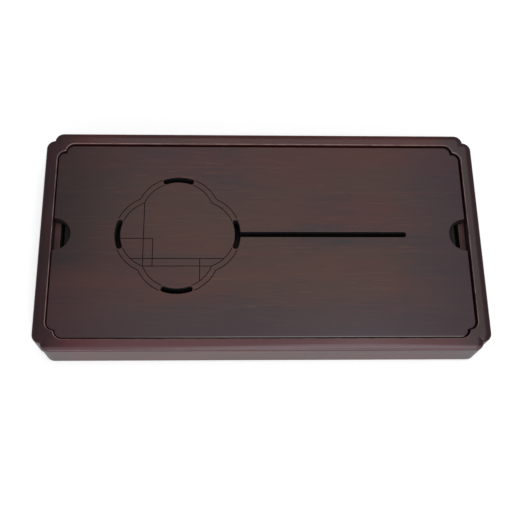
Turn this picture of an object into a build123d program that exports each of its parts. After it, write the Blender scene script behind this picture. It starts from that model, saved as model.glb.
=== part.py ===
from build123d import *
from math import asin, atan2, cos, degrees, pi, radians, sin, sqrt, tan
import os

os.makedirs("parts", exist_ok=True)

# A tray for brewing tea on: a mitred frame of four lacquered rails, a drain board of seven
# staves that lifts out of it, and a moulded basin under the board that catches the water.
# Lengths are in millimetres. X runs along the tray, Y from its front to its back and Z up.
# The origin is on the table, under the middle of the tray.

# Frame
tray_length = 570
tray_width = 300
rail_height = 49
rim_width = 15.6
crown_width = 8
crown_radius = 32
edge_round = 3
inner_edge_round = 1.2
base_chamfer = 0.8
lobe_radius = 11.5
lobe_reach = 22
ledge_width = 8
ledge_edge_round = 0.6
cavity_corner_radius = 12

# Keys across the mitres
key_width = 12
key_thickness = 4
key_height = 26
key_clearance = 0.1
mitre_angle = 45

# Bottom panel, held in a groove round the frame
panel_thickness = 5
panel_rise = 3.5
groove_depth = 5
panel_corner_radius = 4
panel_clearance = 0.2

# Feet and wood screws
foot_height = 4
foot_radius = 8
foot_edge_round = 0.8
foot_inset = 34
head_radius = 3
head_inset = 0.8
head_rim = 0.3
shank_radius = 1.5
screw_tip = 2
drive_width = 0.8
drive_depth = 0.9
screw_clearance = 0.1
sink_clearance = 0.3
sink_angle = 82
foot_screw_bite = 12

# Drain board. It is loose, and rests this far from the middle of its recess.
board_x = -0.8
board_y = -0.5
board_gap = 2
board_sink = 2
board_thickness = 15
board_edge_round = 1
board_base_chamfer = 0.6
stave_count = 7
stave_margin = 2
pattern_offset = 5.4
notch_radius = 22
notch_edge_round = 0.8

# Drain window and slots, cut round a point on the pattern line. The angle is half of a curved slot.
window_inset = 159.4
window_lobe_offset = 26.7
window_radius = 54.3
band_width = 7.3
arc_half_angle = 23
drain_width = 7.2
drain_end_inset = 79
drain_corner_radius = 3.2
drain_edge_round = 0.5
line_width = 1.1
line_depth = 1.4
line_gap = 0.8
short_row = 6.1
long_row = 33.6
left_column = 31.7
right_column = 28.7

# Cleats under the board
cleat_width = 16
cleat_thickness = 8
cleat_clearance = 7
cleat_inset = 46
cleat_end_radius = 6
cleat_chamfer = 1.5
cleat_screw_bite = 9

# Water basin
basin_gap = 5
basin_drop = 2
basin_corner_radius = 16
flange_width = 9
flange_thickness = 2.5
flange_lip_depth = 6
basin_wall = 2
basin_floor = 2.5
basin_draft = 4
basin_foot_round = 5
basin_floor_round = 4
flange_edge_round = 0.8

# How far a cut runs past what it cuts
overrun = 3

# Heights that follow from these sizes
rail_bottom = foot_height
rail_top = rail_bottom + rail_height
board_top = rail_top - board_sink
ledge_top = board_top - board_thickness
panel_bottom = rail_bottom + panel_rise
panel_top = panel_bottom + panel_thickness

# Widths that follow from these sizes
lobe_step = lobe_reach - lobe_radius
recess_length = tray_length - 2 * rim_width
recess_width = tray_width - 2 * rim_width
wall = rim_width + ledge_width
cavity_length = tray_length - 2 * wall
cavity_width = tray_width - 2 * wall
groove_length = cavity_length + 2 * groove_depth
groove_width = cavity_width + 2 * groove_depth
board_length = recess_length - 2 * board_gap
board_width = recess_width - 2 * board_gap
board_lobe_radius = lobe_radius - board_gap
lobe_cusp = (lobe_reach + lobe_radius - sqrt((lobe_reach + lobe_radius) ** 2 - 2 * lobe_reach**2)) / 2


# The two rounded rectangles whose union has corners of two lobes that meet in a cusp.
def lobed_sizes(length, width):
    return (length - 2 * lobe_step, width), (length, width - 2 * lobe_step)


# A block for the frame, its top crowned towards its edge and rounded over.
def crowned_block(length, width):
    fall = asin((crown_width - edge_round) / (crown_radius - edge_round))
    turn = (fall + pi / 2) / 2
    drop = crown_radius * (1 - cos(fall))
    round_top = -drop - edge_round * cos(fall)
    with BuildPart() as block:
        with BuildSketch(Plane.XY.offset(rail_bottom)):
            RectangleRounded(length, width, lobe_radius)
        extrude(amount=rail_height)
        chamfer(block.faces().sort_by(Axis.Z)[0].edges(), base_chamfer)
        rim = block.faces().sort_by(Axis.Z)[-1].outer_wire()
        inward = Vector(0, 0, 1).cross(rim % 0)
        with BuildSketch(Plane(origin=rim @ 0, x_dir=inward, z_dir=rim % 0)) as crown_profile:
            with BuildLine():
                crown_end = (crown_width - crown_radius * sin(fall), -drop)
                crown_middle = (
                    crown_width - crown_radius * sin(fall / 2),
                    -crown_radius * (1 - cos(fall / 2)),
                )
                round_middle = (edge_round * (1 - sin(turn)), round_top + edge_round * cos(turn))
                ThreePointArc((crown_width, 0), crown_middle, crown_end)
                ThreePointArc(crown_end, round_middle, (0, round_top))
                Polyline(
                    (0, round_top),
                    (-overrun, round_top),
                    (-overrun, overrun),
                    (crown_width, overrun),
                    (crown_width, 0),
                )
            make_face()
        sweep(sections=crown_profile.sketch, path=rim, mode=Mode.SUBTRACT)
    return block.part


# A block for the drain board, with its top edge rounded and its lower edge eased.
def board_block(length, width):
    with BuildPart() as block:
        with BuildSketch(Plane.XY.offset(ledge_top)):
            RectangleRounded(length, width, board_lobe_radius)
        extrude(amount=board_thickness)
        fillet(block.faces().sort_by(Axis.Z)[-1].edges(), board_edge_round)
        chamfer(block.faces().sort_by(Axis.Z)[0].edges(), board_base_chamfer)
    return block.part


# A countersunk wood screw that points up, with its head's face at height zero.
def wood_screw(length):
    head_height = (head_radius - shank_radius) / tan(radians(sink_angle / 2))
    with BuildPart() as screw:
        with BuildSketch(Plane.XZ):
            with BuildLine():
                Polyline(
                    (0, 0),
                    (head_radius, 0),
                    (head_radius, head_rim),
                    (shank_radius, head_rim + head_height),
                    (shank_radius, length - screw_tip),
                    (0, length),
                    close=True,
                )
            make_face()
        revolve(axis=Axis.Z)
        with BuildSketch(Plane.XY):
            Rectangle(2 * head_radius, drive_width)
        extrude(amount=drive_depth, mode=Mode.SUBTRACT)
    return screw.part


# Places of the keys: in the middle of the wood on each mitre, square across it.
key_inset = (lobe_cusp + wall) / 2
key_middle = (panel_top + rail_top) / 2
key_places = [
    Location(
        (side * (tray_length / 2 - key_inset), end * (tray_width / 2 - key_inset), key_middle),
        (0, 0, -mitre_angle * side * end),
    )
    for side in (-1, 1)
    for end in (-1, 1)
]

# Places of the feet: under the middle of the front and back rails, near their ends.
foot_x = tray_length / 2 - foot_inset
foot_y = (tray_width - wall) / 2
foot_places = {
    "foot_front_left": (-foot_x, -foot_y),
    "foot_front_right": (foot_x, -foot_y),
    "foot_back_left": (-foot_x, foot_y),
    "foot_back_right": (foot_x, foot_y),
}

# The frame as one ring, with its recess, ledge, cavity, panel groove, key slots and pilot holes.
frame_blocks = [crowned_block(length, width) for length, width in lobed_sizes(tray_length, tray_width)]
with BuildPart() as frame_ring:
    add(frame_blocks)
    with BuildSketch(Plane.XY.offset(ledge_top)):
        for length, width in lobed_sizes(recess_length, recess_width):
            RectangleRounded(length, width, lobe_radius)
    extrude(amount=rail_height, mode=Mode.SUBTRACT)
    rim_face = frame_ring.faces().filter_by(Axis.Z).sort_by(Axis.Z)[-1]
    fillet(rim_face.inner_wires()[0].edges(), inner_edge_round)
    with BuildSketch(Plane.XY.offset(rail_bottom - overrun)):
        RectangleRounded(cavity_length, cavity_width, cavity_corner_radius)
    extrude(amount=rail_height, mode=Mode.SUBTRACT)
    ledge_face = frame_ring.faces().filter_by(Axis.Z).filter_by_position(Axis.Z, ledge_top, ledge_top)[0]
    fillet(ledge_face.inner_wires()[0].edges(), ledge_edge_round)
    with BuildSketch(Plane.XY.offset(panel_bottom)):
        RectangleRounded(groove_length, groove_width, panel_corner_radius)
    extrude(amount=panel_thickness + panel_clearance, mode=Mode.SUBTRACT)
    with Locations(*key_places):
        Box(
            key_width + 2 * key_clearance,
            key_thickness + 2 * key_clearance,
            key_height + 2 * key_clearance,
            mode=Mode.SUBTRACT,
        )
    with BuildSketch(Plane.XY.offset(rail_bottom)):
        with Locations(*foot_places.values()):
            Circle(shank_radius + screw_clearance)
    extrude(amount=foot_screw_bite + screw_clearance, mode=Mode.SUBTRACT)

# Each rail is what lies between two mitres. The mitres run at 45 degrees from the corners.
outer_x = tray_length / 2 + overrun
outer_y = tray_width / 2 + overrun
inner_x = (tray_length - tray_width) / 2
rail_plans = {
    "front_rail": [(-outer_x, -outer_y), (outer_x, -outer_y), (inner_x, 0), (-inner_x, 0)],
    "back_rail": [(-outer_x, outer_y), (outer_x, outer_y), (inner_x, 0), (-inner_x, 0)],
    "left_rail": [(-outer_x, -outer_y), (-outer_x, outer_y), (-inner_x, 0)],
    "right_rail": [(outer_x, -outer_y), (outer_x, outer_y), (inner_x, 0)],
}
for name, corners in rail_plans.items():
    with BuildPart() as rail:
        add(frame_ring.part)
        with BuildSketch(Plane.XY.offset(rail_bottom - overrun)):
            with BuildLine():
                Polyline(*corners, close=True)
            make_face()
        extrude(amount=rail_height + 2 * overrun, mode=Mode.INTERSECT)
    rail.part.label = name
    export_step(rail.part, f"parts/{name}.step")

with BuildPart() as mitre_keys:
    with Locations(*key_places):
        Box(key_width, key_thickness, key_height)
mitre_keys.part.label = "mitre_keys"
export_step(mitre_keys.part, "parts/mitre_keys.step")

with BuildPart() as bottom_panel:
    with BuildSketch(Plane.XY.offset(panel_bottom)):
        RectangleRounded(
            groove_length - 2 * panel_clearance, groove_width - 2 * panel_clearance, panel_corner_radius
        )
    extrude(amount=panel_thickness)
bottom_panel.part.label = "bottom_panel"
export_step(bottom_panel.part, "parts/bottom_panel.step")

# Rubber feet, each held by a screw through its middle.
for name, place in foot_places.items():
    with BuildPart() as foot:
        with BuildSketch(Plane(origin=(*place, 0))):
            Circle(foot_radius)
        extrude(amount=foot_height)
        fillet(foot.faces().sort_by(Axis.Z)[0].edges(), foot_edge_round)
        with Locations(Location((*place, 0), (180, 0, 0))):
            CounterSinkHole(
                shank_radius + screw_clearance,
                head_radius + sink_clearance + head_inset,
                foot_height,
                sink_angle,
            )
    foot.part.label = name
    export_step(foot.part, f"parts/{name}.step")

foot_screw = wood_screw(foot_height - head_inset + foot_screw_bite)
with BuildPart() as foot_screws:
    with Locations(*[(*place, head_inset) for place in foot_places.values()]):
        add(foot_screw)
foot_screws.part.label = "foot_screws"
export_step(foot_screws.part, "parts/foot_screws.step")

# Places along the board, and across it from the front. The middle stave is wide enough for the
# notches and for the curved slots at its ends, and the others share what is left.
pattern_line = pattern_offset
window_x = window_inset - board_length / 2
cleat_x = board_length / 2 - cleat_inset
half_slot = radians(arc_half_angle)
middle_stave_half = max(notch_radius, window_radius * sin(half_slot)) + stave_margin
stave_width = (board_width - 2 * middle_stave_half) / (stave_count - 1)
side_staves = stave_count // 2
stave_edges = [
    -board_width / 2,
    *[pattern_line - middle_stave_half - count * stave_width for count in reversed(range(side_staves))],
    *[pattern_line + middle_stave_half + count * stave_width for count in range(side_staves)],
    board_width / 2,
]
stave_middles = [(front + back) / 2 for front, back in zip(stave_edges, stave_edges[1:])]
cleat_screw_places = [(side * cleat_x, middle) for side in (-1, 1) for middle in stave_middles[1:-1]]

# The window's band: radii of its two outlines, and the angle and place where its lobes meet.
inner_radius = window_radius - band_width
band_radius = window_radius - band_width / 2
drain_start = window_lobe_offset + band_radius
drain_end = board_length / 2 - drain_end_inset - window_x


# How far from the window's middle two neighbouring lobes of a radius meet, along X and along Y.
def lobe_meeting(radius):
    return (window_lobe_offset + sqrt(2 * radius**2 - window_lobe_offset**2)) / 2


# How far from the window's middle its inner outline lies, at a distance across from the lobe's axis.
def inner_reach(across):
    return window_lobe_offset + sqrt(inner_radius**2 - across**2)


# The outline of the curved slot of the right lobe, and the middle lines of the fine outlines.
lobe_turns = [0, 90, 180, 270]
outline_arcs = []
for turn in lobe_turns:
    middle = (window_lobe_offset * cos(radians(turn)), window_lobe_offset * sin(radians(turn)))
    for radius in (inner_radius, window_radius):
        meeting = lobe_meeting(radius)
        first = arc_half_angle + degrees(line_gap / radius)
        last = degrees(atan2(meeting, meeting - window_lobe_offset))
        for start in (first, -last):
            outline_arcs.append(CenterArc(middle, radius, turn + start, last - first))


# A point on the right lobe, at an angle from its middle line.
def lobe_point(radius, angle):
    return (window_lobe_offset + radius * cos(angle), radius * sin(angle))

# The lattice inside the window: each line's place across, its start and its end.
corner = lobe_meeting(inner_radius)
engraved_rows = [
    (-short_row, line_gap - inner_reach(short_row), -left_column),
    (-long_row, -inner_reach(long_row), inner_reach(long_row)),
    (-corner, -corner, corner),
]
engraved_columns = [
    (-corner, -corner, corner),
    (-left_column, -corner, -short_row),
    (right_column, -inner_reach(right_column), -long_row),
]

# The slots in plan, about the window's middle: one curved slot in each lobe and the straight one.
with BuildSketch() as curved_slot:
    with BuildLine():
        ThreePointArc(*[lobe_point(inner_radius, share * half_slot) for share in (-1, 0, 1)])
        ThreePointArc(*[lobe_point(window_radius, share * half_slot) for share in (-1, 0, 1)])
        Line(lobe_point(inner_radius, half_slot), lobe_point(window_radius, half_slot))
        Line(lobe_point(inner_radius, -half_slot), lobe_point(window_radius, -half_slot))
    make_face()
    fillet(curved_slot.vertices(), drain_corner_radius)
with BuildSketch() as straight_slot:
    with Locations(((drain_start + drain_end) / 2, 0)):
        RectangleRounded(drain_end - drain_start, drain_width, drain_corner_radius)
with BuildSketch() as drain_plan:
    add([curved_slot.sketch.rotate(Axis.Z, turn) for turn in lobe_turns])
    add(straight_slot.sketch)

# The drain board before it is divided into staves.
board_blocks = [board_block(length, width) for length, width in lobed_sizes(board_length, board_width)]
with BuildPart() as board_blank:
    add(board_blocks)
    # Four curved slots and one straight one go through the board.
    add(drain_plan.sketch.moved(Location((window_x, pattern_line, ledge_top))))
    extrude(amount=board_thickness, mode=Mode.SUBTRACT)
    top_face = board_blank.faces().filter_by(Axis.Z).sort_by(Axis.Z)[-1]
    slot_edges = [edge for wire in top_face.inner_wires() for edge in wire.edges()]
    fillet(slot_edges, drain_edge_round)
    # A finger notch at the middle of each end.
    with BuildSketch(Plane(origin=(0, pattern_line, ledge_top))):
        with Locations((-board_length / 2, 0), (board_length / 2, 0)):
            Circle(notch_radius)
    extrude(amount=board_thickness, mode=Mode.SUBTRACT)
    for side in (-1, 1):
        deepest = Vector(side * (board_length / 2 - notch_radius), pattern_line, board_top)
        top_edges = board_blank.edges().filter_by_position(Axis.Z, board_top, board_top)
        fillet(top_edges.sort_by_distance(deepest)[0], notch_edge_round)
    # The window's outlines and the lattice inside it are fine lines in the surface.
    with BuildSketch(Plane(origin=(window_x, pattern_line, board_top))):
        for arc in outline_arcs:
            SlotArc(arc, line_width)
        for row, start, end in engraved_rows:
            with Locations(((start + end) / 2, row)):
                Rectangle(end - start, line_width)
        for column, start, end in engraved_columns:
            with Locations((column, (start + end) / 2)):
                Rectangle(line_width, end - start)
    extrude(amount=-line_depth, mode=Mode.SUBTRACT)
    # Pilot holes for the screws of the cleats.
    with BuildSketch(Plane.XY.offset(ledge_top)):
        with Locations(*cleat_screw_places):
            Circle(shank_radius + screw_clearance)
    extrude(amount=cleat_screw_bite + screw_clearance, mode=Mode.SUBTRACT)

# The middle stave holds both notches and the long slots, so that no cut crosses a glue line.
for count, (front, back) in enumerate(zip(stave_edges, stave_edges[1:]), start=1):
    with BuildPart() as board_stave:
        with Locations((board_x, board_y)):
            add(board_blank.part)
        with BuildSketch(Plane.XY.offset(ledge_top - overrun)):
            with Locations((board_x, board_y + (front + back) / 2)):
                Rectangle(board_length + 2 * overrun, back - front)
        extrude(amount=board_thickness + 2 * overrun, mode=Mode.INTERSECT)
    board_stave.part.label = f"board_stave_{count}"
    export_step(board_stave.part, f"parts/board_stave_{count}.step")

# The basin stands on the bottom panel, with a flat rim just under the board.
basin_top = ledge_top - basin_drop
basin_height = basin_top - panel_top
flange_length = cavity_length - 2 * basin_gap
flange_span = cavity_width - 2 * basin_gap
mouth_length = flange_length - 2 * flange_width
mouth_width = flange_span - 2 * flange_width
mouth_radius = basin_corner_radius - flange_width / 2

# Cleats across the underside hold the staves flat. They hang inside the basin's mouth.
cleat_bottom = ledge_top - cleat_thickness
cleat_length = mouth_width - 2 * cleat_clearance
for name, side in (("cleat_left", -1), ("cleat_right", 1)):
    with BuildPart() as cleat:
        with BuildSketch(Plane(origin=(board_x + side * cleat_x, board_y, cleat_bottom))):
            RectangleRounded(cleat_width, cleat_length, cleat_end_radius)
        extrude(amount=cleat_thickness)
        chamfer(cleat.faces().sort_by(Axis.Z)[0].edges(), cleat_chamfer)
        with Locations(
            *[
                Location((board_x + x, board_y + y, cleat_bottom), (180, 0, 0))
                for x, y in cleat_screw_places
                if x * side > 0
            ]
        ):
            CounterSinkHole(
                shank_radius + screw_clearance,
                head_radius + sink_clearance + head_inset,
                cleat_thickness,
                sink_angle,
            )
    cleat.part.label = name
    export_step(cleat.part, f"parts/{name}.step")

cleat_screw = wood_screw(cleat_thickness - head_inset + cleat_screw_bite)
with BuildPart() as cleat_screws:
    with Locations(*[(board_x + x, board_y + y, cleat_bottom + head_inset) for x, y in cleat_screw_places]):
        add(cleat_screw)
cleat_screws.part.label = "cleat_screws"
export_step(cleat_screws.part, "parts/cleat_screws.step")

with BuildPart() as water_tray:
    with BuildSketch(Plane.XY.offset(basin_top)):
        RectangleRounded(mouth_length + 2 * basin_wall, mouth_width + 2 * basin_wall, mouth_radius + basin_wall)
    extrude(amount=-basin_height, taper=basin_draft)
    fillet(water_tray.faces().sort_by(Axis.Z)[0].edges(), basin_foot_round)
    with BuildSketch(Plane.XY.offset(basin_top)):
        RectangleRounded(flange_length, flange_span, basin_corner_radius)
    extrude(amount=-flange_thickness)
    with BuildSketch(Plane.XY.offset(basin_top)):
        RectangleRounded(flange_length, flange_span, basin_corner_radius)
        RectangleRounded(
            flange_length - 2 * basin_wall,
            flange_span - 2 * basin_wall,
            basin_corner_radius - basin_wall,
            mode=Mode.SUBTRACT,
        )
    extrude(amount=-flange_lip_depth)
    fillet(water_tray.faces().sort_by(Axis.Z)[-1].edges(), flange_edge_round)
    with BuildSketch(Plane.XY.offset(basin_top)):
        RectangleRounded(mouth_length, mouth_width, mouth_radius)
    extrude(amount=basin_floor - basin_height, taper=basin_draft, mode=Mode.SUBTRACT)
    floor_face = water_tray.faces().filter_by(Axis.Z).sort_by(Axis.Z)[1]
    fillet(floor_face.edges(), basin_floor_round)
water_tray.part.label = "water_tray"
export_step(water_tray.part, "parts/water_tray.step")
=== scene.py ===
import math

import bpy
from mathutils import Matrix, Vector

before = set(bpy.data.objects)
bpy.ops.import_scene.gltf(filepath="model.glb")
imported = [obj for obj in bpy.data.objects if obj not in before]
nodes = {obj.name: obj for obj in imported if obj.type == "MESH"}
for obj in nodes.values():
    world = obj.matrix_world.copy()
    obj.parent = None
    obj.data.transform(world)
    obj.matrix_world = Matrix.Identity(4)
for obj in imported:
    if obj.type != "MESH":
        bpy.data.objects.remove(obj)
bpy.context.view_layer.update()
print("frame loaded:", len(nodes), "nodes")

staveNodes = sorted(name for name in nodes if name.startswith("board_stave"))
footNodes = sorted(name for name in nodes if name.startswith("foot_") and name != "foot_screws")


# node helpers

nodeGrid = (190, -170)  # spacing of the nodes in the editor
colourSockets = {"factor": 0, "first": 6, "second": 7, "result": 2}  # of a Mix node for colours


def newNode(tree, kind, spot, **values):
    made = tree.nodes.new(kind)
    made.location = (spot[0] * nodeGrid[0], spot[1] * nodeGrid[1])
    for name, value in values.items():
        setattr(made, name, value)
    return made


def plug(tree, source, target):
    tree.links.new(source, target)


def newGroup(name, inputs, outputs):
    group = bpy.data.node_groups.new(name, "ShaderNodeTree")
    for label, kind, value in inputs:
        socket = group.interface.new_socket(name=label, in_out="INPUT", socket_type=kind)
        if value is not None:
            socket.default_value = value
    for label in outputs:
        group.interface.new_socket(name=label, in_out="OUTPUT", socket_type="NodeSocketFloat")
    start = newNode(group, "NodeGroupInput", (-6, 0))
    end = newNode(group, "NodeGroupOutput", (8, 0))
    return group, start, end


# A value that is a number is set on its socket, and one that is an output is linked to it.
def maths(tree, operation, spot, first, second=None, clamp=False):
    made = newNode(tree, "ShaderNodeMath", spot, operation=operation, use_clamp=clamp)
    for socket, value in zip(made.inputs, (first, second)):
        if value is None:
            continue
        if isinstance(value, (int, float)):
            socket.default_value = value
        else:
            plug(tree, value, socket)
    return made.outputs[0]


def splitVector(tree, spot, vector):
    made = newNode(tree, "ShaderNodeSeparateXYZ", spot)
    plug(tree, vector, made.inputs[0])
    return made.outputs


def dotProduct(tree, spot, first, second):
    made = newNode(tree, "ShaderNodeVectorMath", spot, operation="DOT_PRODUCT")
    plug(tree, first, made.inputs[0])
    plug(tree, second, made.inputs[1])
    return made.outputs["Value"]


# A smooth step from toLow to toHigh while the value goes from low to high.
def spread(tree, spot, value, low, high, toLow=0.0, toHigh=1.0):
    made = newNode(tree, "ShaderNodeMapRange", spot, interpolation_type="SMOOTHSTEP")
    plug(tree, value, made.inputs["Value"])
    made.inputs["From Min"].default_value = low
    made.inputs["From Max"].default_value = high
    made.inputs["To Min"].default_value = toLow
    made.inputs["To Max"].default_value = toHigh
    return made.outputs[0]


def mixColours(tree, spot, factor, first, second):
    made = newNode(tree, "ShaderNodeMix", spot, data_type="RGBA")
    for label, value in (("factor", factor), ("first", first), ("second", second)):
        socket = made.inputs[colourSockets[label]]
        if isinstance(value, tuple):
            socket.default_value = (*value, 1.0)
        else:
            plug(tree, value, socket)
    return made.outputs[colourSockets["result"]]


# Wood grain along X of the vector it is given, in metres: broad clouds of two kinds, streaks,
# short pale flecks and short dark pores. Each kind is one noise, pulled out along the grain.
woodGrain = {
    "cloudWidthShare": 0.30,  # of the cloud's length
    "fleckLengthShare": 0.55, "fleckWidthShare": 0.5,  # of the streak's length and width
    "kinds": {
        "Clouds": {"detail": 2.0, "roughness": 0.5, "seedShift": 0.0, "levels": (0.32, 0.70)},
        "Tints": {"detail": 1.0, "roughness": 0.5, "seedShift": 3.7, "levels": (0.34, 0.68)},
        "Streaks": {"detail": 4.0, "roughness": 0.6, "seedShift": 0.0, "levels": (0.34, 0.70)},
        "Flecks": {"detail": 1.0, "roughness": 0.5, "seedShift": 1.3, "levels": (0.62, 0.76)},
        "Pores": {"detail": 1.0, "roughness": 0.5, "seedShift": 7.9, "levels": (0.62, 0.76)},
    },
}


def makeGrainGroup():
    group, start, end = newGroup(
        "woodGrain",
        [
            ("Vector", "NodeSocketVector", None),
            ("Seed", "NodeSocketFloat", 0.0),
            ("Cloud Length", "NodeSocketFloat", 0.16),
            ("Streak Length", "NodeSocketFloat", 0.05),
            ("Streak Width", "NodeSocketFloat", 0.0016),
        ],
        [*woodGrain["kinds"], "Height"],
    )
    places = splitVector(group, (-5, 0), start.outputs["Vector"])

    def stretchedNoise(row, length, width, kind):
        joined = newNode(group, "ShaderNodeCombineXYZ", (-1, row))
        for axis, size in enumerate((length, width, width)):
            scaled = maths(group, "DIVIDE", (-2, row + axis / 2), places[axis], size)
            plug(group, scaled, joined.inputs[axis])
        noise = newNode(group, "ShaderNodeTexNoise", (0, row), noise_dimensions="4D")
        seed = maths(group, "ADD", (-1, row + 1), start.outputs["Seed"], kind["seedShift"])
        plug(group, joined.outputs[0], noise.inputs["Vector"])
        plug(group, seed, noise.inputs["W"])
        noise.inputs["Scale"].default_value = 1.0
        noise.inputs["Detail"].default_value = kind["detail"]
        noise.inputs["Roughness"].default_value = kind["roughness"]
        return noise.outputs[0]

    cloudLength = start.outputs["Cloud Length"]
    streakLength = start.outputs["Streak Length"]
    streakWidth = start.outputs["Streak Width"]
    cloudWidth = maths(group, "MULTIPLY", (-4, 2), cloudLength, woodGrain["cloudWidthShare"])
    fleckLength = maths(group, "MULTIPLY", (-4, 4), streakLength, woodGrain["fleckLengthShare"])
    fleckWidth = maths(group, "MULTIPLY", (-4, 5), streakWidth, woodGrain["fleckWidthShare"])
    sizes = {
        "Clouds": (cloudLength, cloudWidth),
        "Tints": (cloudLength, cloudWidth),
        "Streaks": (streakLength, streakWidth),
        "Flecks": (fleckLength, fleckWidth),
        "Pores": (fleckLength, fleckWidth),
    }
    masks = {}
    for step, (label, kind) in enumerate(woodGrain["kinds"].items()):
        noise = stretchedNoise(2 * step, *sizes[label], kind)
        masks[label] = spread(group, (2, 2 * step), noise, *kind["levels"])
        plug(group, masks[label], end.inputs[label])
    height = maths(group, "SUBTRACT", (4, 5), masks["Streaks"], masks["Pores"])
    plug(group, height, end.inputs["Height"])
    return group


# Pale edges, where the finish is rubbed thin and, on the lacquer, a painted highlight as well.
# Mask is where a rounded normal leaves the surface's own, but not at the mitres, where two rails
# meet in one face. Inward is a rounded edge that faces the middle of the tray, where hands and
# cloths go and where the lacquer paints its pale highlight line. Noise breaks both up.
paleEdgeSettings = {
    "bevelSamples": 4, "bent": (0.995, 0.90),  # cosine between the two normals
    "mitreLead": 0.135, "mitreReach": (0.0012, 0.0025),  # half the length less half the width
    "noiseDetail": 4.0, "noiseLevels": (0.30, 0.62), "noiseShares": (0.25, 1.0),
    "tipped": (0.985, 0.93), "standing": (0.10, 0.35), "inwardLimit": -0.001,
}


def makeEdgeGroup():
    group, start, end = newGroup(
        "paleEdgeMasks",
        [
            ("Vector", "NodeSocketVector", None),
            ("Radius", "NodeSocketFloat", 0.0012),
            ("Break Up", "NodeSocketFloat", 60.0),
            ("Amount", "NodeSocketFloat", 0.6),
        ],
        ["Mask", "Inward"],
    )
    place = start.outputs["Vector"]
    amount = start.outputs["Amount"]
    geometry = newNode(group, "ShaderNodeNewGeometry", (-4, 2))
    normal = geometry.outputs["Normal"]

    noise = newNode(group, "ShaderNodeTexNoise", (-3, 4))
    plug(group, place, noise.inputs["Vector"])
    plug(group, start.outputs["Break Up"], noise.inputs["Scale"])
    noise.inputs["Detail"].default_value = paleEdgeSettings["noiseDetail"]
    levels, shares = paleEdgeSettings["noiseLevels"], paleEdgeSettings["noiseShares"]
    broken = spread(group, (-1, 4), noise.outputs[0], *levels, *shares)

    bevel = newNode(group, "ShaderNodeBevel", (-4, 0), samples=paleEdgeSettings["bevelSamples"])
    plug(group, start.outputs["Radius"], bevel.inputs["Radius"])
    bent = dotProduct(group, (-3, 0), bevel.outputs[0], normal)
    bare = spread(group, (-1, 0), bent, *paleEdgeSettings["bent"])
    x, y = splitVector(group, (-4, -2), place)[:2]
    fromEnd = maths(group, "ABSOLUTE", (-3, -2), x)
    fromSide = maths(group, "ABSOLUTE", (-3, -1), y)
    lead = maths(group, "SUBTRACT", (-2, -2), fromEnd, fromSide)
    offLead = maths(group, "SUBTRACT", (-2, -1), lead, paleEdgeSettings["mitreLead"])
    fromMitre = maths(group, "ABSOLUTE", (-1, -2), offLead)
    offMitre = spread(group, (0, -2), fromMitre, *paleEdgeSettings["mitreReach"])
    whole = maths(group, "MULTIPLY", (0, 1), bare, offMitre)
    paleEdges = maths(group, "MULTIPLY", (1, 1), whole, broken)
    plug(group, maths(group, "MULTIPLY", (2, 1), paleEdges, amount), end.inputs["Mask"])

    level = newNode(group, "ShaderNodeVectorMath", (-3, 7), operation="MULTIPLY")
    plug(group, place, level.inputs[0])
    level.inputs[1].default_value = (1, 1, 0)
    outward = dotProduct(group, (-2, 7), level.outputs[0], normal)
    inward = maths(group, "LESS_THAN", (-1, 7), outward, paleEdgeSettings["inwardLimit"])
    slope = splitVector(group, (-3, 6), normal)[2]
    tipped = spread(group, (-1, 6), slope, *paleEdgeSettings["tipped"])
    standing = spread(group, (-1, 8), slope, *paleEdgeSettings["standing"])
    rounded = maths(group, "MULTIPLY", (0, 6), tipped, standing)
    facing = maths(group, "MULTIPLY", (1, 6), rounded, inward)
    rubbedAndHighlight = maths(group, "MULTIPLY", (2, 6), facing, broken)
    plug(group, maths(group, "MULTIPLY", (3, 6), rubbedAndHighlight, amount), end.inputs["Inward"])
    return group


# Fine unevenness of a finish: soft waves with a small even texture on them, as one height, and
# smears that change its gloss and colour.
finishNoise = {
    "evenDetail": 1.0,
    "smearSize": 0.035, "smearDetail": 5.0, "smearLevels": (0.35, 0.7),
}


def makeFinishGroup():
    group, start, end = newGroup(
        "rubbedFinish",
        [
            ("Vector", "NodeSocketVector", None),
            ("Wave Length", "NodeSocketFloat", 0.06),
            ("Peel Size", "NodeSocketFloat", 0.0025),
            ("Peel Share", "NodeSocketFloat", 0.25),
        ],
        ["Height", "Smears"],
    )

    def evenNoise(row, size, detail):
        scaled = newNode(group, "ShaderNodeVectorMath", (-2, row), operation="SCALE")
        plug(group, start.outputs["Vector"], scaled.inputs[0])
        plug(group, maths(group, "DIVIDE", (-3, row), 1.0, size), scaled.inputs["Scale"])
        noise = newNode(group, "ShaderNodeTexNoise", (-1, row))
        plug(group, scaled.outputs[0], noise.inputs["Vector"])
        noise.inputs["Scale"].default_value = 1.0
        noise.inputs["Detail"].default_value = detail
        return noise.outputs[0]

    waves = evenNoise(0, start.outputs["Wave Length"], finishNoise["evenDetail"])
    peel = evenNoise(2, start.outputs["Peel Size"], finishNoise["evenDetail"])
    smears = evenNoise(4, finishNoise["smearSize"], finishNoise["smearDetail"])
    small = maths(group, "MULTIPLY", (2, 2), peel, start.outputs["Peel Share"])
    plug(group, maths(group, "ADD", (3, 1), waves, small), end.inputs["Height"])
    plug(group, spread(group, (3, 4), smears, *finishNoise["smearLevels"]), end.inputs["Smears"])
    return group


# Where a piece was cut and stained but not lacquered: below a height and inside a rectangle.
# Zone is the whole of it and Walls its upright faces, which the lacquer darkens as painted shade.
# Upright is any upright face.
uprightSlope = (0.9, 0.3)  # Z of the normal where a face counts as level, and as upright


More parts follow.
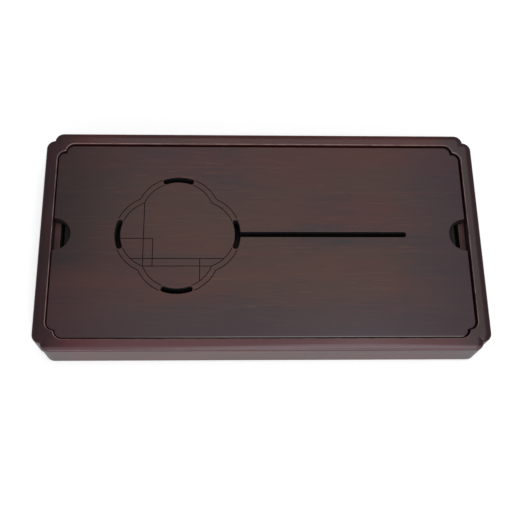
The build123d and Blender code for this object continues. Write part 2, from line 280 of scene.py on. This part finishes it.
def makeCutGroup():
    group, start, end = newGroup(
        "cutFaces",
        [
            ("Vector", "NodeSocketVector", None),
            ("Half Length", "NodeSocketFloat", 0.2692),
            ("Half Width", "NodeSocketFloat", 0.1342),
            ("Top", "NodeSocketFloat", 0.0505),
        ],
        ["Zone", "Walls", "Upright"],
    )
    x, y, z = splitVector(group, (-5, 0), start.outputs["Vector"])
    fromEnd = maths(group, "ABSOLUTE", (-4, 0), x)
    fromSide = maths(group, "ABSOLUTE", (-4, 1), y)
    inLength = maths(group, "LESS_THAN", (-3, 0), fromEnd, start.outputs["Half Length"])
    inWidth = maths(group, "LESS_THAN", (-3, 1), fromSide, start.outputs["Half Width"])
    below = maths(group, "LESS_THAN", (-3, 2), z, start.outputs["Top"])
    inPlan = maths(group, "MULTIPLY", (-2, 0), inLength, inWidth)
    zone = maths(group, "MULTIPLY", (-1, 0), inPlan, below)
    geometry = newNode(group, "ShaderNodeNewGeometry", (-5, 4))
    facing = splitVector(group, (-4, 4), geometry.outputs["True Normal"])[2]
    slope = maths(group, "ABSOLUTE", (-3, 4), facing)
    upright = spread(group, (-1, 4), slope, *uprightSlope)
    plug(group, zone, end.inputs["Zone"])
    plug(group, upright, end.inputs["Upright"])
    plug(group, maths(group, "MULTIPLY", (2, 2), zone, upright), end.inputs["Walls"])
    return group


# Painted shade in narrow grooves and joints, where little light gets in.
creviceSamples = 8


def makeCreviceGroup():
    group, start, end = newGroup(
        "paintedCreviceShade",
        [
            ("Reach", "NodeSocketFloat", 0.0012),
            ("Open", "NodeSocketFloat", 0.95),
            ("Shut", "NodeSocketFloat", 0.74),
        ],
        ["Mask"],
    )
    hidden = newNode(group, "ShaderNodeAmbientOcclusion", (-4, 0), samples=creviceSamples)
    plug(group, start.outputs["Reach"], hidden.inputs["Distance"])
    level = newNode(group, "ShaderNodeMapRange", (-2, 0), interpolation_type="SMOOTHSTEP")
    plug(group, hidden.outputs["AO"], level.inputs["Value"])
    plug(group, start.outputs["Open"], level.inputs["From Min"])
    plug(group, start.outputs["Shut"], level.inputs["From Max"])
    plug(group, level.outputs[0], end.inputs["Mask"])
    return group


grainGroup = makeGrainGroup()
cutGroup = makeCutGroup()
creviceGroup = makeCreviceGroup()
edgeGroup = makeEdgeGroup()
finishGroup = makeFinishGroup()
print("effect groups made")


# materials

def startMaterial(name):
    material = bpy.data.materials.new(name)
    material.use_nodes = True
    tree = material.node_tree
    tree.nodes.clear()
    output = newNode(tree, "ShaderNodeOutputMaterial", (9, 0))
    shader = newNode(tree, "ShaderNodeBsdfPrincipled", (7, 0))
    plug(tree, shader.outputs[0], output.inputs["Surface"])
    place = newNode(tree, "ShaderNodeTexCoord", (-8, 0))
    return material, tree, shader, place.outputs["Object"]


def useGroup(tree, group, spot, vector, values):
    made = newNode(tree, "ShaderNodeGroup", spot)
    made.node_tree = group
    plug(tree, vector, made.inputs["Vector"])
    for label, value in values.items():
        made.inputs[label].default_value = value
    return made


def bumpNormal(tree, spot, height, distance, normal=None):
    bump = newNode(tree, "ShaderNodeBump", spot)
    bump.inputs["Strength"].default_value = 1.0
    bump.inputs["Distance"].default_value = distance
    plug(tree, height, bump.inputs["Height"])
    if normal is not None:
        plug(tree, normal, bump.inputs["Normal"])
    return bump.outputs[0]


# The lacquer's tones by their place on the tray, as pairs of a share and a colour; most of them
# paint light and shade. The board has a painted cool light tint to the right and the front, is
# redder at the back and has two tones to the left, the back one dark as painted shade. The front
# rail is redder and the short rails are darker with painted shade. Board and rail have a pale
# painted highlight along the front.
def makeTones(tree, x, y, topFaces, settings):
    right = spread(tree, (-3, -5), x, *settings["blueEnd"])
    front = spread(tree, (-3, -6), y, *settings["blueFront"])
    bluePlace = maths(tree, "MAXIMUM", (-2, -5), right, front)
    coolLightShare = maths(tree, "MULTIPLY", (-1, -5), bluePlace, settings["blueAmount"])
    redPlace = spread(tree, (-3, -2), y, *settings["redReach"])
    redTops = maths(tree, "MULTIPLY", (-2, -2), redPlace, topFaces)
    redShare = maths(tree, "MULTIPLY", (-1, -2), redTops, settings["redAmount"])
    left = spread(tree, (-3, -7), x, *settings["leftEnd"])
    leftShare = maths(tree, "MULTIPLY", (-1, -7), left, settings["leftAmount"])
    leftSplit = spread(tree, (-3, -9), y, *settings["leftSplit"])
    leftTone = mixColours(tree, (-1, -9), leftSplit, settings["leftBackShade"], settings["leftFront"])
    fromMiddle = maths(tree, "ABSOLUTE", (-4, -8), x)
    sidePlace = spread(tree, (-3, -8), fromMiddle, *settings["sideReach"])
    sideShare = maths(tree, "MULTIPLY", (-2, -8), sidePlace, settings["sideAmount"])
    frontEdge = spread(tree, (-3, -10), y, *settings["frontReach"])
    frontRun = spread(tree, (-3, -11), x, *settings["frontRun"])
    frontPlace = maths(tree, "MULTIPLY", (-2, -11), frontEdge, frontRun)
    frontTops = maths(tree, "MULTIPLY", (-2, -10), frontPlace, topFaces)
    frontHighlightShare = maths(tree, "MULTIPLY", (-1, -10), frontTops, settings["frontAmount"])
    return [
        (coolLightShare, settings["coolLightTint"]),
        (redShare, settings["red"]),
        (leftShare, leftTone),
        (sideShare, settings["side"]),
        (frontHighlightShare, settings["front"]),
    ]


# Dark lacquer over stained wood. The grain runs along X, or along Y where the piece is turned.
def makeLacquer(name, settings):
    material, tree, shader, place = startMaterial(name)
    grainPlace = place
    if settings["turned"]:
        turn = newNode(tree, "ShaderNodeMapping", (-7, 1))
        turn.inputs["Rotation"].default_value = (0, 0, math.radians(90))
        plug(tree, place, turn.inputs["Vector"])
        grainPlace = turn.outputs[0]
    grain = useGroup(tree, grainGroup, (-5, 0), grainPlace, {
        "Seed": settings["seed"],
        "Streak Length": settings["streakLength"],
        "Streak Width": settings["streakWidth"],
    })
    broad = useGroup(tree, grainGroup, (-5, 2), place, {
        "Seed": settings["cloudSeed"],
        "Cloud Length": settings["cloudLength"],
    })
    paleEdges = useGroup(tree, edgeGroup, (-5, 3), place, {
        "Radius": settings["edgeRadius"],
        "Amount": settings["edgeAmount"],
    })
    finish = useGroup(tree, finishGroup, (-5, 5), place, {"Peel Share": settings["peelShare"]})
    cut = useGroup(tree, cutGroup, (-5, 7), place, {
        "Half Length": settings["cutHalf"][0],
        "Half Width": settings["cutHalf"][1],
        "Top": settings["cutTop"],
    })
    creviceShade = newNode(tree, "ShaderNodeGroup", (-5, 9))
    creviceShade.node_tree = creviceGroup
    x, y, z = splitVector(tree, (-4, -2), place)
    zone = cut.outputs["Zone"]

    # the grain's colours, and then the tones by place, mostly painted light and shade, each over
    # what is under it
    layers = []
    for source, label, kind in (
        (broad, "Tints", "tint"),
        (grain, "Streaks", "streak"),
        (grain, "Flecks", "fleck"),
        (grain, "Pores", "pore"),
    ):
        spot = (-2, 1 + len(layers))
        share = maths(tree, "MULTIPLY", spot, source.outputs[label], settings[kind + "Amount"])
        layers.append((share, settings[kind]))
    topFaces = maths(tree, "SUBTRACT", (-3, -3), 1.0, cut.outputs["Upright"])
    layers += makeTones(tree, x, y, topFaces, settings)
    colour = mixColours(
        tree, (-3, 0), broad.outputs["Clouds"], settings["cool"], settings["warm"]
    )
    for step, (share, tone) in enumerate(layers):
        colour = mixColours(tree, (-2 + step / 2, 0), share, colour, tone)
    colour = mixColours(tree, (3, 0), zone, colour, settings["bare"])

    # dark groove floors, painted shade on the cut walls and in the crevices, and then the pale
    # edges, rubbed and with a painted highlight
    aboveFloor = maths(tree, "SUBTRACT", (0, 3), z, settings["grooveFloor"])
    fromFloor = maths(tree, "ABSOLUTE", (1, 3), aboveFloor)
    groove = spread(tree, (2, 3), fromFloor, *settings["grooveReach"])
    inset = maths(tree, "MULTIPLY", (2.5, 3), groove, zone)
    # painted shade on the upright cut walls and in the occluded crevices
    paintedShade = maths(tree, "MAXIMUM", (2.5, 2), cut.outputs["Walls"], creviceShade.outputs["Mask"])
    dark = maths(tree, "MAXIMUM", (3, 2), inset, paintedShade, clamp=True)
    colour = mixColours(tree, (4, 0), dark, colour, settings["shadow"])
    lit = maths(tree, "SUBTRACT", (3, 3), 1.0, dark)
    # pale edges: rubbed finish and a painted highlight, strongest on rounded edges facing the
    # middle
    edges = maths(tree, "MULTIPLY", (4, 2), paleEdges.outputs["Mask"], lit)
    colour = mixColours(tree, (5, 0), edges, colour, settings["rubbedAndHighlight"])
    colour = mixColours(tree, (6, 0), paleEdges.outputs["Inward"], colour, settings["thinAndHighlight"])
    plug(tree, colour, shader.inputs["Base Color"])

    gloss = spread(tree, (1, 5), broad.outputs["Clouds"], 0.0, 1.0, *settings["roughness"])
    satin = maths(tree, "MULTIPLY", (1, 6), cut.outputs["Upright"], settings["sideRoughness"])
    matt = maths(tree, "MULTIPLY", (1, 7), zone, settings["bareRoughness"])
    lacquered = maths(tree, "MAXIMUM", (2, 5), gloss, satin)
    rough = maths(tree, "MAXIMUM", (3, 5), lacquered, matt)
    rough = maths(tree, "MAXIMUM", (4, 5), rough, dark, clamp=True)
    plug(tree, rough, shader.inputs["Roughness"])

    soft = bumpNormal(tree, (3, 7), finish.outputs["Height"], settings["waveHeight"])
    fine = bumpNormal(tree, (5, 7), grain.outputs["Height"], settings["grainHeight"], soft)
    plug(tree, fine, shader.inputs["Normal"])
    shader.inputs["IOR"].default_value = settings["ior"]
    return material


# Lengths and places are in metres. A pair of places is where a tone starts and where it is full.
# A groove floor of -1 is for a piece without grooves, and an amount of 0 switches a tone off.
boardFinish = {
    "turned": False, "seed": 3.0, "cloudSeed": 5.0,
    "cloudLength": 0.13, "streakLength": 0.06, "streakWidth": 0.0026,
    "cool": (0.012, 0.004, 0.008), "warm": (0.052, 0.006, 0.006),
    "tint": (0.052, 0.015, 0.002), "tintAmount": 0.5,
    "streak": (0.072, 0.012, 0.006), "streakAmount": 0.36,
    "fleck": (0.13, 0.042, 0.018), "fleckAmount": 0.45,
    "pore": (0.004, 0.001, 0.003), "poreAmount": 0.45,
    # the blue tint is painted cool light, the dark left and side tones are painted shade and the
    # pale front tone is a painted highlight
    "coolLightTint": (0.020, 0.005, 0.014), "blueAmount": 0.75,
    "blueEnd": (0.150, 0.268), "blueFront": (-0.070, -0.134),
    "red": (0.080, 0.006, 0.006), "redAmount": 0.20, "redReach": (0.060, 0.125),
    "leftBackShade": (0.010, 0.009, 0.012), "leftFront": (0.045, 0.017, 0.019), "leftAmount": 0.60,
    "leftEnd": (-0.100, -0.262), "leftSplit": (-0.02, -0.07),
    "side": (0.024, 0.007, 0.010), "sideAmount": 0.0, "sideReach": (0.225, 0.272),
    "front": (0.185, 0.160, 0.155), "frontAmount": 0.9,
    "frontReach": (-0.1312, -0.1320), "frontRun": (-0.22, -0.02),
    # the rubbed and thin colours are pale edges: worn finish and a painted highlight
    "rubbedAndHighlight": (0.10, 0.035, 0.022), "thinAndHighlight": (0.09, 0.03, 0.025),
    "edgeRadius": 0.0008, "edgeAmount": 0.5,
    "bare": (0.045, 0.010, 0.008), "cutTop": 0.0508, "cutHalf": (0.2640, 0.1290),
    "shadow": (0.004, 0.0015, 0.002), "grooveFloor": 0.0496, "grooveReach": (0.0006, 0.0003),
    "roughness": (0.245, 0.268), "sideRoughness": 0.45, "bareRoughness": 0.62,
    "peelShare": 0.03, "waveHeight": 0.00008, "grainHeight": 0.000008, "ior": 1.45,
}
railFinish = dict(
    boardFinish,
    seed=11.0, cloudSeed=8.0, cloudLength=0.14,
    cool=(0.028, 0.006, 0.008), warm=(0.060, 0.011, 0.012), tint=(0.070, 0.015, 0.009),
    streak=(0.095, 0.024, 0.022), streakAmount=0.34,
    blueAmount=0.0, leftAmount=0.0,
    red=(0.092, 0.016, 0.024), redAmount=0.6, redReach=(-0.125, -0.138),
    # the side tone is painted shade and the pale front tone a painted highlight
    side=(0.022, 0.008, 0.011), sideAmount=0.85,
    front=(0.125, 0.070, 0.080), frontAmount=0.75,
    frontReach=(-0.1430, -0.1472), frontRun=(-0.40, -0.30),
    # the rubbed and thin colours are pale edges: worn finish and a painted highlight
    rubbedAndHighlight=(0.15, 0.06, 0.045), thinAndHighlight=(0.24, 0.145, 0.13), edgeRadius=0.0012, edgeAmount=0.9,
    bare=(0.060, 0.022, 0.020), cutTop=0.0512, cutHalf=(0.2692, 0.1342),
    grooveFloor=-1.0, roughness=(0.15, 0.19),
)
hiddenFinish = dict(
    boardFinish,
    redAmount=0.0, blueAmount=0.0, leftAmount=0.0, frontAmount=0.0,
    grooveFloor=-1.0, roughness=(0.5, 0.62),
)
keyFinish = dict(
    hiddenFinish,
    seed=31.0,
    cool=(0.42, 0.26, 0.15), warm=(0.52, 0.33, 0.19), tint=(0.50, 0.30, 0.15),
    streak=(0.36, 0.21, 0.11), fleck=(0.60, 0.40, 0.24), pore=(0.2, 0.11, 0.06),
    rubbedAndHighlight=(0.55, 0.36, 0.22), thinAndHighlight=(0.60, 0.40, 0.24),
    bare=(0.46, 0.29, 0.17), shadow=(0.3, 0.18, 0.1),
)
panelFinish = dict(hiddenFinish, seed=29.0, streakWidth=0.003, grainHeight=0.00004)
boardLacquer = makeLacquer("boardLacquer", boardFinish)
longRailLacquer = makeLacquer("longRailLacquer", railFinish)
shortRailLacquer = makeLacquer("shortRailLacquer", dict(railFinish, turned=True, seed=13.0))
cleatLacquer = makeLacquer("cleatLacquer", dict(hiddenFinish, turned=True, seed=23.0))
panelStain = makeLacquer("panelStain", panelFinish)
keyWood = makeLacquer("keyWood", keyFinish)


# Moulded plastic, rubber and plated steel: one colour with faint scuffs, a fine even texture and
# paler edges.
def makeScuffed(name, settings):
    material, tree, shader, place = startMaterial(name)
    finish = useGroup(tree, finishGroup, (-5, 0), place, {
        "Wave Length": settings["waveLength"],
        "Peel Size": settings["textureSize"],
        "Peel Share": settings["textureShare"],
    })
    paleEdges = useGroup(tree, edgeGroup, (-5, 3), place, {
        "Radius": settings["edgeRadius"],
        "Amount": settings["edgeAmount"],
    })
    smears = finish.outputs["Smears"]
    scuffed = mixColours(tree, (0, 0), smears, settings["colour"], settings["scuff"])
    edged = mixColours(tree, (2, 0), paleEdges.outputs["Mask"], scuffed, settings["edge"])
    rough = spread(tree, (2, 3), smears, 0.0, 1.0, *settings["roughness"])
    normal = bumpNormal(tree, (4, 4), finish.outputs["Height"], settings["height"])
    plug(tree, edged, shader.inputs["Base Color"])
    plug(tree, rough, shader.inputs["Roughness"])
    plug(tree, normal, shader.inputs["Normal"])
    shader.inputs["Metallic"].default_value = settings["metallic"]
    return material


basinPlastic = makeScuffed("basinPlastic", {
    "colour": (0.010, 0.005, 0.004), "scuff": (0.014, 0.008, 0.007), "edge": (0.03, 0.022, 0.020),
    "roughness": (0.78, 0.90), "metallic": 0.0,
    "waveLength": 0.05, "textureSize": 0.0009, "textureShare": 0.6, "height": 0.00006,
    "edgeRadius": 0.001, "edgeAmount": 0.5,
})
footRubber = makeScuffed("footRubber", {
    "colour": (0.016, 0.016, 0.016), "scuff": (0.03, 0.029, 0.028), "edge": (0.05, 0.048, 0.045),
    "roughness": (0.7, 0.85), "metallic": 0.0,
    "waveLength": 0.008, "textureSize": 0.0005, "textureShare": 0.8, "height": 0.00005,
    "edgeRadius": 0.0006, "edgeAmount": 0.6,
})
screwSteel = makeScuffed("screwSteel", {
    "colour": (0.55, 0.54, 0.50), "scuff": (0.42, 0.41, 0.38), "edge": (0.75, 0.74, 0.70),
    "roughness": (0.28, 0.42), "metallic": 1.0,
    "waveLength": 0.004, "textureSize": 0.0004, "textureShare": 0.7, "height": 0.00003,
    "edgeRadius": 0.0003, "edgeAmount": 1.0,
})
print("materials made")


# the pieces keep their CAD meshes and get their finishes in their own slots

finishes = {
    "front_rail": longRailLacquer, "back_rail": longRailLacquer,
    "left_rail": shortRailLacquer, "right_rail": shortRailLacquer,
    "bottom_panel": panelStain, "mitre_keys": keyWood, "water_tray": basinPlastic,
    "cleat_left": cleatLacquer, "cleat_right": cleatLacquer,
    "foot_screws": screwSteel, "cleat_screws": screwSteel,
}
finishes.update({name: boardLacquer for name in staveNodes})
finishes.update({name: footRubber for name in footNodes})
for name, material in finishes.items():
    for slot in nodes[name].material_slots:
        slot.material = material
print("finishes set on", len(finishes), "nodes")


# studio: a white table under soft light

studio = {
    "tableSize": 8.0, "tableAlbedo": 0.80, "tableGlow": 0.49,
    "horizon": 1.0, "dome": 0.42, "horizonTop": 0.10, "domeStart": 0.55,
}


# The table glows for the rays that the camera, gloss and glass send, so that it looks white and
# keeps the tray's shadow, and adds no diffuse light to the tray.
def makeTable():
    half = studio["tableSize"] / 2
    mesh = bpy.data.meshes.new("tableTop")
    corners = [(-half, -half, 0), (half, -half, 0), (half, half, 0), (-half, half, 0)]
    mesh.from_pydata(corners, [], [(0, 1, 2, 3)])
    table = bpy.data.objects.new("tableTop", mesh)
    bpy.context.scene.collection.objects.link(table)
    material = bpy.data.materials.new("whiteTable")
    material.use_nodes = True
    tree = material.node_tree
    tree.nodes.clear()
    output = newNode(tree, "ShaderNodeOutputMaterial", (5, 0))
    diffuse = newNode(tree, "ShaderNodeBsdfDiffuse", (1, 0))
    diffuse.inputs["Color"].default_value = (studio["tableAlbedo"],) * 3 + (1.0,)
    glow = newNode(tree, "ShaderNodeEmission", (1, 2))
    rays = newNode(tree, "ShaderNodeLightPath", (-3, 2))
    cameraRay, glossyRay = rays.outputs["Is Camera Ray"], rays.outputs["Is Glossy Ray"]
    seen = maths(tree, "ADD", (-2, 2), cameraRay, glossyRay)
    seen = maths(tree, "ADD", (-1, 2), seen, rays.outputs["Is Transmission Ray"], clamp=True)
    strength = maths(tree, "MULTIPLY", (0, 2), seen, studio["tableGlow"])
    plug(tree, strength, glow.inputs["Strength"])
    both = newNode(tree, "ShaderNodeAddShader", (3, 0))
    plug(tree, diffuse.outputs[0], both.inputs[0])
    plug(tree, glow.outputs[0], both.inputs[1])
    plug(tree, both.outputs[0], output.inputs["Surface"])
    mesh.materials.append(material)


# White walls round the table that fade to a dimmer ceiling.
def makeWorld():
    world = bpy.data.worlds.new("studioWorld")
    bpy.context.scene.world = world
    world.use_nodes = True
    tree = world.node_tree
    tree.nodes.clear()
    output = newNode(tree, "ShaderNodeOutputWorld", (5, 0))
    sky = newNode(tree, "ShaderNodeBackground", (3, 0))
    place = newNode(tree, "ShaderNodeTexCoord", (-3, 0))
    height = splitVector(tree, (-2, 0), place.outputs["Generated"])[2]
    fade = (studio["horizonTop"], studio["domeStart"])
    level = spread(tree, (0, 0), height, *fade, studio["horizon"], studio["dome"])
    plug(tree, level, sky.inputs["Strength"])
    plug(tree, sky.outputs[0], output.inputs["Surface"])


# Each lamp's glow is its radiance, where 1 is white.
lamps = {
    "ceilingSoftbox": {
        "place": (0.22, 0.65, 1.9), "aim": (0.22, 0.65, 0.0),
        "size": (1.5, 1.5), "glow": 1.02, "colour": (1.0, 1.0, 1.0),
    },
    "frontSoftbox": {
        "place": (0.22, -0.35, 1.9), "aim": (0.10, -0.2, 0.0),
        "size": (1.3, 0.9), "glow": 2.0, "colour": (0.94, 0.97, 1.0),
    },
    "lowSoftbox": {
        "place": (0.10, -1.6, 1.15), "aim": (0.05, -0.1, 0.0),
        "size": (1.7, 0.6), "glow": 4.5, "colour": (0.94, 0.97, 1.0),
    },
}


def makeLamp(name, settings):
    light = bpy.data.lights.new(name, "AREA")
    light.shape = "RECTANGLE"
    light.size, light.size_y = settings["size"]
    light.energy = settings["glow"] * math.pi * light.size * light.size_y
    light.color = settings["colour"]
    lamp = bpy.data.objects.new(name, light)
    place = Vector(settings["place"])
    lamp.location = place
    lamp.rotation_euler = (Vector(settings["aim"]) - place).to_track_quat("-Z", "Y").to_euler()
    bpy.context.scene.collection.objects.link(lamp)


makeTable()
makeWorld()
for name, settings in lamps.items():
    makeLamp(name, settings)
print("studio made")


# camera: the photograph's view, solved from the tray's outline, with its angles in degrees

view = {
    "focalPixels": 852.2, "framePixels": 512, "sensorWidth": 36.0, "clipStart": 0.01,
    "place": (-0.0496, -0.4141, 1.0688), "pitch": 68.98, "yaw": 6.07, "roll": -5.71,
}


def makeCamera():
    pitch, yaw, roll = (math.radians(view[name]) for name in ("pitch", "yaw", "roll"))
    level = math.cos(pitch)
    ahead = Vector((math.sin(yaw) * level, math.cos(yaw) * level, -math.sin(pitch)))
    levelRight = Vector((math.cos(yaw), -math.sin(yaw), 0))
    levelDown = ahead.cross(levelRight)
    right = math.cos(roll) * levelRight + math.sin(roll) * levelDown
    down = -math.sin(roll) * levelRight + math.cos(roll) * levelDown
    camera = bpy.data.objects.new("photoCamera", bpy.data.cameras.new("photoCamera"))
    camera.data.sensor_width = view["sensorWidth"]
    camera.data.lens = view["focalPixels"] / view["framePixels"] * view["sensorWidth"]
    camera.data.clip_start = view["clipStart"]
    turned = Matrix((right, -down, -ahead)).transposed()
    camera.matrix_world = Matrix.Translation(view["place"]) @ turned.to_4x4()
    bpy.context.scene.collection.objects.link(camera)
    bpy.context.scene.camera = camera


makeCamera()
bpy.context.scene.view_settings.view_transform = "Standard"
print("camera set")
